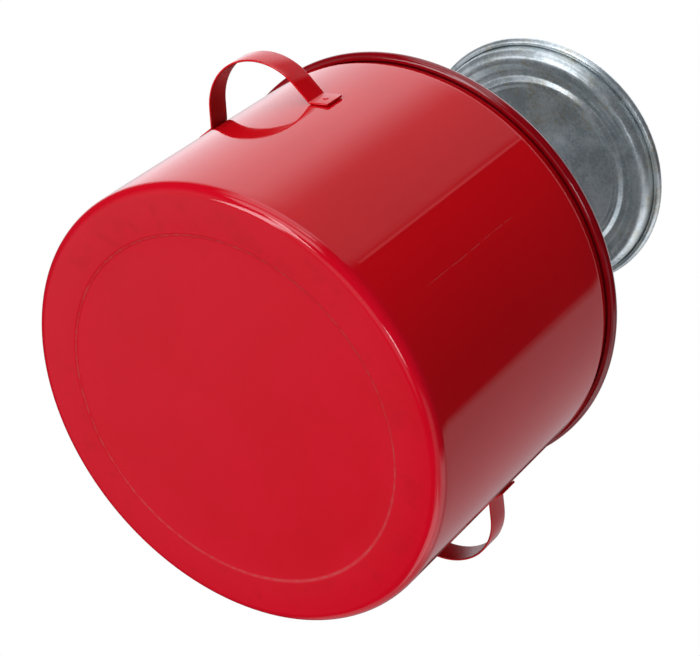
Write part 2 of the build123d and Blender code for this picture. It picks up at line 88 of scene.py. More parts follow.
# ---- shader graphs
class Value:
    """A number that changes over a surface. Its operators add Math nodes to the graph."""

    def __init__(self, graph: "Graph", socket: Socket) -> None:
        """Wraps one output socket of a graph."""
        self.graph = graph
        self.socket = socket

    def __add__(self, other: Number) -> "Value":
        """Sum."""
        return self.graph.math("ADD", self, other)

    __radd__ = __add__

    def __sub__(self, other: Number) -> "Value":
        """Difference."""
        return self.graph.math("SUBTRACT", self, other)

    def __rsub__(self, other: Number) -> "Value":
        """Difference, with the value on the right."""
        return self.graph.math("SUBTRACT", other, self)

    def __mul__(self, other: Number) -> "Value":
        """Product."""
        return self.graph.math("MULTIPLY", self, other)

    __rmul__ = __mul__

    def __truediv__(self, other: Number) -> "Value":
        """Quotient."""
        return self.graph.math("DIVIDE", self, other)

    def __abs__(self) -> "Value":
        """Size without its sign."""
        return self.graph.math("ABSOLUTE", self)

    def rising(self, low: float, high: float) -> "Value":
        """Smooth step from 0 at low to 1 at high. It falls instead where high is the smaller."""
        settings = {"interpolation_type": "SMOOTHSTEP"}
        inputs = {"Value": self, "From Min": low, "From Max": high}
        return self.graph.value("MapRange", "Result", settings, inputs)

    def between(self, low: float, high: float, feather: float) -> "Value":
        """Mask that is 1 from low to high and fades out over the feather on both sides."""
        return self.rising(low - feather, low) * self.rising(high + feather, high)


class Graph:
    """A node tree that is written as expressions."""

    def __init__(self, tree: bpy.types.NodeTree) -> None:
        """Empties the tree so that only what is written here is in it."""
        self.tree = tree
        self.tree.nodes.clear()

    def add(self, kind: str, settings: dict | None = None, inputs: dict | None = None) -> bpy.types.Node:
        """Adds a node.

        Args:
            kind: The node's type without its leading ShaderNode, such as Bump.
            settings: Its properties, such as a Math node's operation, which are set first.
            inputs: A number, colour, vector, Value or socket for each input, by identifier.

        Returns:
            The new node.
        """
        node = self.tree.nodes.new(f"ShaderNode{kind}")
        for key, setting in (settings or {}).items():
            setattr(node, key, setting)
        for key, given in (inputs or {}).items():
            socket = next(s for s in node.inputs if key in (s.identifier, s.name))
            if isinstance(given, Value):
                self.tree.links.new(given.socket, socket)
            elif isinstance(given, Socket):
                self.tree.links.new(given, socket)
            elif socket.type == "RGBA":
                socket.default_value = (*given, 1.0)
            else:
                socket.default_value = given
        return node

    def value(self, kind: str, output: str, settings: dict | None, inputs: dict) -> Value:
        """Adds a node and wraps one of its outputs as a Value."""
        return Value(self, self.add(kind, settings, inputs).outputs[output])

    def math(self, operation: str, *terms: Number) -> Value:
        """Adds one Math node over up to three numbers or Values."""
        inputs = dict(zip(("Value", "Value_001", "Value_002"), terms))
        return self.value("Math", "Value", {"operation": operation}, inputs)

    def mix(self, factor: Number, first: object, second: object) -> Socket:
        """Mixes two colours.

        Args:
            factor: How much of the second colour there is.
            first: A colour or a colour socket.
            second: A colour or a colour socket.

        Returns:
            The colour socket of the mix.
        """
        inputs = {"Factor_Float": factor, "A_Color": first, "B_Color": second}
        node = self.add("Mix", {"data_type": "RGBA"}, inputs)
        return next(s for s in node.outputs if s.identifier == "Result_Color")

    def mix_shaders(self, factor: Value | Socket, first: Socket, second: Socket) -> Socket:
        """Mixes two shaders. The factor is how much of the second there is."""
        inputs = {"Fac": factor, "Shader": first, "Shader_001": second}
        return self.add("MixShader", None, inputs).outputs["Shader"]

    def split(self, vector: Socket) -> list[Value]:
        """The X, Y and Z of a vector."""
        parts = self.add("SeparateXYZ", None, {"Vector": vector}).outputs
        return [Value(self, part) for part in parts]

    def join(self, x: Number, y: Number, z: Number) -> Socket:
        """Joins three numbers to a vector."""
        inputs = {"X": x, "Y": y, "Z": z}
        return self.add("CombineXYZ", None, inputs).outputs["Vector"]


@dataclass(frozen=True)
class Patches:
    """Cloudy patches, which start at one level of a noise and are full at another."""

    size: float
    detail: float
    rough: float
    start: float
    full: float
    warp: float = 0.0


class Surface(Graph):
    """The shader graph of one material, with the place on the piece in millimetres."""

    wall_per_degree = 2.2
    speck_radius = (0.05, 0.02)

    def __init__(self, name: str) -> None:
        """Makes the material and its coordinates."""
        self.material = bpy.data.materials.new(name)
        self.material.use_nodes = True
        super().__init__(self.material.node_tree)
        place = self.add("TexCoord").outputs["Object"]
        settings = {"operation": "SCALE"}
        scaled = self.add("VectorMath", settings, {"Vector": place, "Scale": 1 / MM})
        self.place = scaled.outputs["Vector"]
        self.x, self.y, self.z = self.split(self.place)
        self.radius = self.math("SQRT", self.x * self.x + self.y * self.y)
        self.azimuth = self.math("ARCTAN2", self.y, self.x) * degrees(1)

    def facing(self) -> tuple[Value, Value]:
        """How far the surface faces out from the middle line, and how far up."""
        x, y, z = self.split(self.add("TexCoord").outputs["Normal"])
        return (x * self.x + y * self.y) / self.radius, z

    def stretched(self, along: Point3) -> Socket:
        """The place, multiplied along each axis: a small number draws a pattern out."""
        settings = {"operation": "MULTIPLY"}
        inputs = {"Vector": self.place, "Vector_001": along}
        return self.add("VectorMath", settings, inputs).outputs["Vector"]

    def unrolled(self, height_share: float) -> Socket:
        """The place on the unrolled wall: length round the can, then the height's share."""
        along = self.azimuth * self.wall_per_degree
        return self.join(along, self.z * height_share, self.radius * 0.2)

    def noise(self, size: float, detail: float = 2.0, rough: float = 0.5,
              at: Socket | None = None, warp: float = 0.0) -> Value:
        """Cloudy noise.

        Args:
            size: Width of one cloud in millimetres.
            detail: How many finer layers it has.
            rough: How strong those layers are.
            at: The place to read it at, if not the plain place.
            warp: How much the clouds are distorted.

        Returns:
            A value around 0.5.
        """
        inputs = {"Vector": at or self.place, "Scale": 1 / size, "Detail": detail}
        inputs.update({"Roughness": rough, "Distortion": warp})
        return self.value("TexNoise", "Fac", None, inputs)

    def patches(self, kind: Patches, at: Socket | None = None) -> Value:
        """Mask of cloudy patches."""
        noise = self.noise(kind.size, kind.detail, kind.rough, at, kind.warp)
        return noise.rising(kind.start, kind.full)

    def cells(self, size: float, at: Socket | None = None) -> tuple[Value, Value]:
        """Distance from each cell's middle, and a number that is the same all over the cell."""
        inputs = {"Vector": at or self.place, "Scale": 1 / size}
        outputs = self.add("TexVoronoi", None, inputs).outputs
        return Value(self, outputs["Distance"]), self.split(outputs["Color"])[0]

    def specks(self, size: float, share: float) -> Value:
        """Small round specks, few of them where the share is small."""
        distance, tone = self.cells(size)
        return distance.rising(*self.speck_radius) * tone.rising(1 - share, 1 - share + 0.02)

    def relief(self, height: Value, depth: float, under: Socket | None = None) -> Socket:
        """Bump whose height of 1 stands that many millimetres proud, on another bump if given."""
        inputs = {"Height": height, "Distance": depth * MM, "Strength": 1.0}
        if under is not None:
            inputs["Normal"] = under
        return self.add("Bump", None, inputs).outputs["Normal"]

    def shader(self, colour: Socket, roughness: Number, normal: Socket, metallic: Number = 0.0) -> Socket:
        """Adds the Principled shader. A roughness or a metallic is a number or a Value."""
        inputs = {"Base Color": colour, "Roughness": roughness, "Metallic": metallic, "Normal": normal}
        return self.add("BsdfPrincipled", None, inputs).outputs["BSDF"]

    def close(self, shader: Socket) -> Material:
        """Ends the graph with a shader and gives the finished material."""
        self.add("OutputMaterial", None, {"Surface": shader})
        return self.material


# ---- finishes
class Finish:
    """A way to finish a surface. The material is made once and shared."""

    made: ClassVar[dict[str, Material]] = {}

    def surface(self) -> Material:
        """Writes the material's graph."""
        raise NotImplementedError

    def material(self) -> Material:
        """The finish's material, made the first time that it is asked for."""
        if self.name not in self.made:
            self.made[self.name] = self.surface()
        return self.made[self.name]

    def dress(self, piece: Piece) -> None:
        """Puts the material on every slot of a piece, and makes a slot if it has none."""
        if not piece.material_slots:
            piece.data.materials.append(self.material())
        for place in piece.material_slots:
            place.material = self.material()


class Painted(Enum):
    """The painted parts of the can, which are marked in different ways."""

    BOTTOM = "red_enamel_bottom"
    WALL = "red_enamel_wall"
    STRAP = "red_enamel_strap"
    WELD = "red_enamel_weld"


@dataclass(frozen=True)
class RedEnamel(Finish):
    """Gloss red enamel with a faint orange peel, dust and rubs, painted shade on the rolled rim and the
    straps' inward faces, and a painted bluish tint of light on the bottom. The inside is left bare zinc.
    """

    part: Painted
    red: Colour = (0.86, 0.003, 0.0095)
    deep: Colour = (0.74, 0.0025, 0.0085)
    # Bluer red for the bottom: a painted tint of the violet light from below.
    underlight_red: Colour = (0.86, 0.003, 0.021)
    # Dark red for painted shade on the rolled rim and on the straps' inward faces.
    painted_shade_red: Colour = (0.24, 0.001, 0.006)
    rubbed: Colour = (0.74, 0.066, 0.070)
    smeared: Colour = (0.52, 0.0022, 0.012)
    zinc: Colour = (0.44, 0.51, 0.54)
    zinc_dark: Colour = (0.30, 0.36, 0.38)
    rim_low: float = 176.0
    ring_radius: float = 100.3
    scratch_azimuth: float = 256.3
    scratch_low: float = 42.0
    scratch_high: float = 127.0
    gloss: float = 0.045
    peel_size: float = 2.6
    peel_depth: float = 0.0035
    drawn_depth: float = 0.030
    scratch_depth: float = 0.030
    weld_depth: float = 0.05
    zinc_roughness: float = 0.34
    zinc_metallic: float = 0.6
    cloud: Patches = Patches(55, 3, 0.5, 0.35, 0.75)
    smudge: Patches = Patches(28, 4, 0.6, 0.50, 0.72)
    handling: Patches = Patches(7, 4, 0.65, 0.56, 0.75)
    spatter: Patches = Patches(1.2, 2, 0.5, 0.40, 0.80)
    mottle: Patches = Patches(3.5, 4, 0.65, 0.42, 0.58)
    breaks: Patches = Patches(5, 4, 0.7, 0.44, 0.58)
    scuffs: Patches = Patches(1.6, 3, 0.6, 0.70, 0.80)
    smears: Patches = Patches(24, 4, 0.65, 0.50, 0.66, 0.5)
    skips: Patches = Patches(4, 3, 0.7, 0.36, 0.56)

    @property
    def name(self) -> str:
        """The material's name."""
        return self.part.value

    def surface(self) -> Material:
        """Writes the paint, then the marks and painted shade of its own part."""
        graph = Surface(self.name)
        grain = graph.noise(6, 3)
        # The lowest 10 mm turn bluer: painted tint of light from below.
        red = graph.mix(graph.z.rising(10, 2), self.red, self.underlight_red)
        colour = graph.mix(graph.patches(self.cloud) * 0.35, red, self.deep)
        colour = graph.mix(grain.rising(0.45, 0.8) * 0.10, colour, self.deep)
        dust = graph.specks(7, 0.05) * 0.5
        roughness = self.gloss + 0.035 * graph.patches(self.smudge) + 0.25 * dust
        normal = graph.relief(graph.noise(self.peel_size, 1), self.peel_depth)
        marks = dust * 0.35
        if self.part is Painted.BOTTOM:
            rub = self.ring_rub(graph)
            marks = graph.math("MAXIMUM", marks, rub)
            smear = self.smear(graph)
            colour = graph.mix(smear * 0.2, colour, self.smeared)
            roughness = roughness + 0.2 * rub + 0.05 * smear
        elif self.part is Painted.WALL:
            scratch = self.scratch(graph)
            marks = graph.math("MAXIMUM", marks, scratch * 0.8)
            drawn = graph.noise(5.0, 3, 0.5, graph.unrolled(0.03))
            normal = graph.relief(drawn, self.drawn_depth, normal)
            # The rolled rim is painted dark red: painted shade.
            rim_shade = graph.z.rising(self.rim_low - 0.8, self.rim_low + 0.2)
            colour = graph.mix(rim_shade * (0.75 + 0.25 * grain), colour, self.painted_shade_red)
            normal = graph.relief(scratch, -self.scratch_depth, normal)
        elif self.part is Painted.STRAP:
            handled = graph.patches(self.handling)
            roughness = roughness + 0.10 * handled
            marks = graph.math("MAXIMUM", marks, handled * 0.10)
            # Faces that turn in towards the wall are painted dark red: painted shade.
            hidden = graph.facing()[0].rising(-0.2, -0.45)
            colour = graph.mix(hidden * (0.78 + 0.2 * grain), colour, self.painted_shade_red)
            roughness = roughness + 0.3 * hidden
        else:
            colour = graph.mix(graph.patches(self.spatter) * 0.5, colour, self.deep)
            roughness = roughness + 0.08
            normal = graph.relief(graph.noise(0.9), self.weld_depth, normal)
        colour = graph.mix(marks, colour, self.rubbed)
        bare = self.bare(graph)
        if bare is None:
            return graph.close(graph.shader(colour, roughness, normal))
        mottle = graph.patches(self.mottle)
        colour = graph.mix(bare, colour, graph.mix(mottle, self.zinc_dark, self.zinc))
        roughness = roughness + bare * (self.zinc_roughness + 0.12 * mottle)
        return graph.close(graph.shader(colour, roughness, normal, bare * self.zinc_metallic))

    def bare(self, graph: Surface) -> Value | None:
        """Where the inside of the can is left as bare zinc, up to the rim."""
        outward, upward = graph.facing()
        if self.part is Painted.BOTTOM:
            return graph.math("MAXIMUM", upward.rising(0.4, 0.6), outward.rising(-0.4, -0.6))
        if self.part is Painted.WALL:
            return outward.rising(-0.2, -0.4) * graph.z.rising(self.rim_low, self.rim_low - 1)
        return None

    def ring_rub(self, graph: Surface) -> Value:
        """Where the bench has rubbed the pressed ring and the panel just inside it."""
        line = graph.radius.between(self.ring_radius - 0.45, self.ring_radius + 0.25, 0.5)
        broken = graph.patches(self.breaks)
        scuffs = graph.patches(self.scuffs, graph.stretched((1.0, 0.22, 1.0)))
        near = graph.radius.between(self.ring_radius - 7, self.ring_radius - 1, 3)
        return line * (0.35 + 0.5 * broken) + near * scuffs * 0.3

    def smear(self, graph: Surface) -> Value:
        """Dull smears from handling, on the flat band between the ring and the edge."""
        band = graph.radius.between(self.ring_radius + 4, self.ring_radius + 15, 4)
        return graph.patches(self.smears) * band

    def scratch(self, graph: Surface) -> Value:
        """One thin scratch that runs up the wall, broken here and there."""
        azimuth = self.scratch_azimuth - FULL_TURN
        sway = (graph.noise(30, 1) - 0.5) * 0.5
        line = abs(graph.azimuth - azimuth + sway).rising(0.16, 0.05)
        run = graph.z.between(self.scratch_low + 8, self.scratch_high - 14, 16)
        return line * run * graph.patches(self.skips)


@dataclass(frozen=True)
class Galvanised(Finish):
    """Hot-dip zinc: blue grey, mottled, with faint spangle, handling scuffs and brown stains."""

    name: str = "galvanised"
    pale: Colour = (0.80, 0.87, 0.88)
    grey: Colour = (0.67, 0.745, 0.765)
    dark: Colour = (0.50, 0.575, 0.60)
    stain: Colour = (0.52, 0.45, 0.27)
    spangle_size: float = 5.5
    metallic: float = 0.66
    pits: Patches = Patches(1.1, 2, 0.5, 0.62, 0.74)
    stains: Patches = Patches(24, 4, 0.6, 0.50, 0.68, 0.8)
    speckle: Patches = Patches(2.5, 3, 0.7, 0.35, 0.70)

    def surface(self) -> Material:
        """Writes the zinc."""
        graph = Surface(self.name)
        mottle = graph.noise(1.7, 3, 0.6)
        blotch = graph.noise(20, 3, 0.5, None, 0.6)
        spangle = graph.cells(self.spangle_size, graph.stretched((1.0, 1.0, 0.6)))[1]
        tone = 0.42 * mottle + 0.50 * blotch + 0.08 * spangle
        colour = graph.mix(tone.rising(0.40, 0.50), self.dark, self.grey)
        colour = graph.mix(tone.rising(0.49, 0.60), colour, self.pale)
        pits = graph.patches(self.pits)
        colour = graph.mix(pits * 0.35, colour, self.dark)
        stained = graph.patches(self.stains) * graph.patches(self.speckle)
        colour = graph.mix(stained * 0.7, colour, self.stain)
        roughness = 0.25 + 0.10 * blotch + 0.06 * mottle + 0.08 * pits
        normal = graph.relief(mottle, 0.005)
        normal = graph.relief(blotch, 0.015, normal)
        return graph.close(graph.shader(colour, roughness, normal, self.metallic))


class Grain(Enum):
    """Which way a metal's fine marks run."""

    ROUND = "round"
    ALONG = "along"
    NONE = "none"


@dataclass(frozen=True)
class Metal(Finish):
    """A worked metal: two tones, tool marks that run one way, and a film of dull patches."""

    name: str
    light: Colour
    dull: Colour
    roughness: float = 0.28
    grain: Grain = Grain.ROUND
    mark: float = 0.012
    film: float = 0.35
    metallic: float = 0.95
    flecks: Patches = Patches(1.3, 3, 0.6, 0.55, 0.80)

    def surface(self) -> Material:
        """Writes the metal."""
        graph = Surface(self.name)
        if self.grain is Grain.ROUND:
            lines = graph.noise(0.5, 3, 0.6, self.turned(graph))
        elif self.grain is Grain.ALONG:
            lines = graph.noise(0.6, 3, 0.6, graph.stretched((1.0, 1.0, 0.03)))
        else:
            lines = graph.noise(0.8, 3)
        patch = graph.noise(9, 4, 0.6)
        fleck = graph.patches(self.flecks)
        colour = graph.mix(patch.rising(0.42, 0.72) * self.film, self.light, self.dull)
        colour = graph.mix(fleck * 0.3, colour, self.dull)
        roughness = self.roughness + 0.14 * patch + 0.10 * lines + 0.1 * fleck
        normal = graph.relief(lines, self.mark)
        return graph.close(graph.shader(colour, roughness, normal, self.metallic))

    @staticmethod
    def turned(graph: Surface) -> Socket:
        """A place that hardly changes round the axis, so that noise read there is turned."""
        return graph.join(graph.radius, graph.z, graph.azimuth * 0.004)


@dataclass(frozen=True)
class Moulded(Finish):
    """Rubber or fibre: a matt body with a cloudy tone, fine grain and dusty high spots."""

    name: str
    body: Colour
    bloom: Colour
    roughness: float = 0.6
    grain_size: float = 0.4
    grain_depth: float = 0.03
    bloomed: Patches = Patches(5, 4, 0.6, 0.40, 0.75)

    def surface(self) -> Material:
        """Writes the moulding."""
        graph = Surface(self.name)
        cloud = graph.patches(self.bloomed)
        grain = graph.noise(self.grain_size, 3, 0.6)
        colour = graph.mix(cloud * 0.4 + grain.rising(0.55, 0.8) * 0.25, self.body, self.bloom)
        roughness = self.roughness + 0.15 * cloud
        return graph.close(graph.shader(colour, roughness, graph.relief(grain, self.grain_depth)))


STEEL = Metal("bright_steel", (0.66, 0.665, 0.68), (0.42, 0.42, 0.43), 0.16, Grain.ALONG)
POLISHED = Metal("polished_steel", (0.70, 0.70, 0.71), (0.52, 0.52, 0.53), 0.06, Grain.NONE, 0.002, 0.15)
ZINC = Metal("zinc_plate", (0.62, 0.64, 0.66), (0.42, 0.43, 0.44), 0.26, Grain.ALONG)
ZINC_TURNED = Metal("zinc_plate_turned", (0.60, 0.62, 0.64), (0.40, 0.41, 0.42), 0.28, Grain.ROUND)
BRASS = Metal("drawn_brass", (0.76, 0.55, 0.24), (0.50, 0.34, 0.15), 0.22, Grain.ALONG)
BRASS_TURNED = Metal("turned_brass", (0.78, 0.57, 0.26), (0.52, 0.36, 0.16), 0.20, Grain.ROUND, 0.02)
BRONZE = Metal("turned_bronze", (0.56, 0.36, 0.19), (0.34, 0.21, 0.11), 0.26, Grain.ROUND, 0.02)
NITRILE = Moulded("nitrile", (0.022, 0.022, 0.024), (0.075, 0.073, 0.07), 0.5)
FIBRE = Moulded("vulcanised_fibre", (0.30, 0.075, 0.045), (0.42, 0.16, 0.10), 0.62)


# ---- mesh tools
@dataclass
class MeshPlan:
    """Points in millimetres and the faces between them, before they are a Blender mesh."""

    points: list[Point3]
    faces: list[tuple[int, ...]]

    def piece(self, name: str) -> Piece:
        """Makes the object, smooth but for its sharp edges, with its origin at the frame's."""
        mesh = bpy.data.meshes.new(name)
        metres = [(x * MM, y * MM, z * MM) for x, y, z in self.points]
        mesh.from_pydata(metres, [], self.faces)
        mesh.validate()
        mesh.shade_smooth()
        mesh.set_sharp_from_angle(angle=SMOOTH_BELOW)
        piece = bpy.data.objects.new(name, mesh)
        bpy.context.scene.collection.objects.link(piece)
        return piece

    def join(self, other: "MeshPlan") -> None:
        """Adds another plan's points and faces to this one."""
        shift = len(self.points)
        self.points.extend(other.points)
        self.faces.extend(tuple(i + shift for i in face) for face in other.faces)


def on_circle(radius: float, angle: float) -> Point2:
    """Point at a radius and an angle in degrees."""
    return radius * cos(radians(angle)), radius * sin(radians(angle))


def bent_line(corners: Sequence[Point2], bends: Sequence[float], step: float = 7.0) -> list[Point2]:
    """Straight runs whose inner corners are rounded.

    Args:
        corners: The corners of the runs.
        bends: The bend radius at each inner corner.
        step: Degrees of bend between two points of an arc.

    Returns:
        The points along the line.
    """
    line = [corners[0]]
    for before, corner, after, radius in zip(corners, corners[1:], corners[2:], bends):
        here = Vector(corner)
        back = (Vector(before) - here).normalized()
        on = (Vector(after) - here).normalized()
        turn = pi - acos(max(-1.0, min(1.0, back.dot(on))))
        reach = radius * tan(turn / 2)
        middle = here + (back + on).normalized() * (radius / cos(turn / 2))
        start = here + back * reach - middle
        side = -1.0 if back.cross(on) > 0 else 1.0
        count = max(2, round(degrees(turn) / step))
        for k in range(count + 1):
            arm = Matrix.Rotation(side * turn * k / count, 2) @ start
            line.append(tuple(middle + arm))
    line.append(corners[-1])
    return line


def arc(centre: Point2, radius: float, start: float, sweep: float, step: float = 10.0) -> list[Point2]:
    """Points along an arc, from a start angle through a sweep, both in degrees."""
    count = max(2, round(abs(sweep) / step))
    angles = [start + sweep * k / count for k in range(count + 1)]
    return [(centre[0] + on_circle(radius, a)[0], centre[1] + on_circle(radius, a)[1]) for a in angles]


def direction(line: Sequence[Point2], i: int) -> Vector:
    """Unit vector along a line at one of its points."""
    before = Vector(line[max(i - 1, 0)])
    after = Vector(line[min(i + 1, len(line) - 1)])
    return (after - before).normalized()


def offset_line(line: Sequence[Point2], distance: float) -> list[Point2]:
    """The same line, moved sideways by a distance to its left."""
    moved = []
    for i, point in enumerate(line):
        along = direction(line, i)
        moved.append((point[0] - along.y * distance, point[1] + along.x * distance))
    return moved


def sheet_outline(line: Sequence[Point2], thickness: float) -> list[Point2]:
    """Outline of a sheet whose middle runs along a line: one side out, the other side back."""
    near = offset_line(line, -thickness / 2)
    far = offset_line(line, thickness / 2)
    return near + far[::-1]


def columns(count: int, dense_at: float | None = None, reach: float = 1.2, steps: int = 10) -> list[float]:
    """Angles round an axis, with so many closer steps to each side of one that is given."""
    angles = {round(FULL_TURN * k / count, 4) for k in range(count)}
    if dense_at is not None:
        angles = {a for a in angles if abs(a - dense_at) > reach}
        angles |= {round(dense_at + reach * k / steps, 4) for k in range(-steps, steps + 1)}
    return sorted(angles)


def revolved(outline: Sequence[Point2], closed: bool, angles: Sequence[float],
             relief: Callable[[float, float, float], float] | None = None) -> MeshPlan:
    """Turns an outline round the Z axis.

    Args:
        outline: (radius, height) points, anticlockwise in the section.
        closed: True if its last point joins its first, False if both lie on the axis.
        angles: The angles of the columns, in degrees.
        relief: How far a point at (radius, angle, height) moves outwards, if any does.

    Returns:
        The mesh plan.
    """
    rings: list[list[int]] = []
    points: list[Point3] = []
    for radius, height in outline:
        if radius < ON_AXIS:
            rings.append([len(points)] * len(angles))
            points.append((0.0, 0.0, height))
            continue
        rings.append(list(range(len(points), len(points) + len(angles))))
        for angle in angles:
            proud = relief(radius, angle, height) if relief else 0.0
            points.append((*on_circle(radius + proud, angle), height))
    faces = []
    pairs = zip(rings, rings[1:] + rings[:1] if closed else rings[1:])
    for low, high in pairs:
        for k in range(len(angles)):
            j = (k + 1) % len(angles)
            corners = (low[k], low[j], high[j], high[k])
            face = tuple(dict.fromkeys(corners))
            if len(face) > 2:
                faces.append(face)
    return MeshPlan(points, faces)


def swept(rings: Sequence[Sequence[Point3]]) -> MeshPlan:
    """Joins rings of equal length in order and closes both ends."""
    size = len(rings[0])
    points = [point for ring in rings for point in ring]
    faces = [tuple(range(size))[::-1], tuple(range((len(rings) - 1) * size, len(rings) * size))]
    for row in range(len(rings) - 1):
        for k in range(size):
            j = (k + 1) % size
            low, high = row * size, (row + 1) * size
            faces.append((low + k, low + j, high + j, high + k))
    return MeshPlan(points, faces)


def spaced_round(profile: Sequence[Point2], facets: int, circle: float, count: int) -> MeshPlan:
    """Turns a small profile about its own axis and sets copies of it round a circle.

    Args:
        profile: Its (radius, height) points, of which the first and last are on the axis.
        facets: How many flats each copy has.
        circle: Radius of the circle on which their axes stand.
        count: How many there are.

    Returns:
        One plan that holds every copy.
    """
    plan = MeshPlan([], [])
    for k in range(count):
        x, y = on_circle(circle, FULL_TURN * k / count)
        copy = revolved(profile, False, columns(facets))
        copy.points = [(px + x, py + y, pz) for px, py, pz in copy.points]
        plan.join(copy)
    return plan


def settle(piece: Piece, body: str, slot: str, finish: Finish, *nodes: str) -> Piece:
    """Dresses a new piece, puts it on its body and hides the CAD nodes that it stands for."""
    finish.dress(piece)
    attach(piece, body)
    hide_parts(*nodes)
    LOG.info("%s on %s: %d faces, %s", piece.name, body, len(piece.data.polygons), finish.name)
    return piece


# ---- the can
@dataclass
class Can:
    """The can: a pressed bottom and a rolled wall with a welded seam and a wired rim."""

    radius: float
    rim_radius: float
    rim_top: float
    sheet: float = 0.8
    chime: float = 6.35
    skirt: float = 12.0
    panel_radius: float = 100.3
    panel_rise: float = 0.6
    panel_step: float = 2.0
    panel_bend: float = 1.0
    bead: float = 3.0
    neck: float = 9.0
    neck_bends: tuple[float, float] = (8.0, 3.0)
    roll: float = 290.0
    seam_azimuth: float = 243.5
    seam_width: float = 3.6
    seam_proud: float = 0.08
    seam_run_out: float = 6.0
    panel_rings: tuple[float, ...] = (30.0, 60.0, 90.0)
    wall_steps: int = 24
    bend_step: float = 6.0
    facets: int = 360

    @classmethod
    def from_frame(cls) -> "Can":
        """Takes the can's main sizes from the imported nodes."""
        bottom = node_box("can_bottom")[1]
        wall = node_box("can_wall")[1]
        return cls(radius=bottom.x, rim_radius=wall.x, rim_top=wall.z)

    @property
    def wall_line(self) -> float:
        """Radius of the middle of the wall's sheet."""
        return self.radius - self.sheet / 2

    @property
    def rim_height(self) -> float:
        """Height of the rolled rim's centre."""
        return self.rim_top - self.bead

    def build(self) -> None:
        """Builds the bottom and the wall."""
        self.build_bottom()
        self.build_wall()

    def build_bottom(self) -> Piece:
        """Builds the bottom, from its middle out, round the chime and up the short skirt."""
        half = self.sheet / 2
        step = self.panel_step / 2
        corners = (
            (0.0, self.panel_rise + half),
            (self.panel_radius - step, self.panel_rise + half),
            (self.panel_radius + step, half),
            (self.wall_line, half),
            (self.wall_line, self.skirt),
        )
        bends = (self.panel_bend, self.panel_bend, self.chime - half)
        line = bent_line(corners, bends, self.bend_step)
        line[1:1] = [(radius, line[0][1]) for radius in self.panel_rings]
        plan = revolved(sheet_outline(line, self.sheet), False, columns(self.facets))
        piece = plan.piece("can_bottom_pressing")
        return settle(piece, "can", "red_enamel", RedEnamel(Painted.BOTTOM), "can_bottom")

    def build_wall(self) -> Piece:
        """Builds the wall from the skirt up through the neck and round its rim."""
        roll_line = self.bead - self.sheet / 2
        centre = (self.rim_radius - self.bead, self.rim_height)
        inside = centre[0] - roll_line
        corners = (
            (self.wall_line, self.skirt),
            (self.wall_line, self.rim_height - self.neck),
            (inside, self.rim_height - self.neck / 2),
            (inside, self.rim_height),
        )
        line = bent_line(corners, self.neck_bends, self.bend_step)
        rise = (line[1][1] - self.skirt) / self.wall_steps
        line[1:1] = [(self.wall_line, self.skirt + rise * k) for k in range(1, self.wall_steps)]
        line += arc(centre, roll_line, 180.0, -self.roll)[1:]
        angles = columns(self.facets, self.seam_azimuth)
        plan = revolved(sheet_outline(line, self.sheet), True, angles, self.seam)
        piece = plan.piece("can_wall_shell")
        enamel = RedEnamel(Painted.WALL, rim_low=self.rim_height - self.bead)
        return settle(piece, "can", "red_enamel", enamel, "can_wall")

    def seam(self, radius: float, angle: float, height: float) -> float:
        """How far the seam weld stands out from the wall's outer face."""
        below_neck = self.rim_height - self.neck - height
        across = abs(angle - self.seam_azimuth) * radians(1) * self.radius / (self.seam_width / 2)
        if radius <= self.wall_line or below_neck <= 0 or across >= 1:
            return 0.0
        end = min(self.seam_run_out, below_neck, height - self.skirt) / self.seam_run_out
        return self.seam_proud * max(0.0, end) * cos(across * pi / 2) ** 2


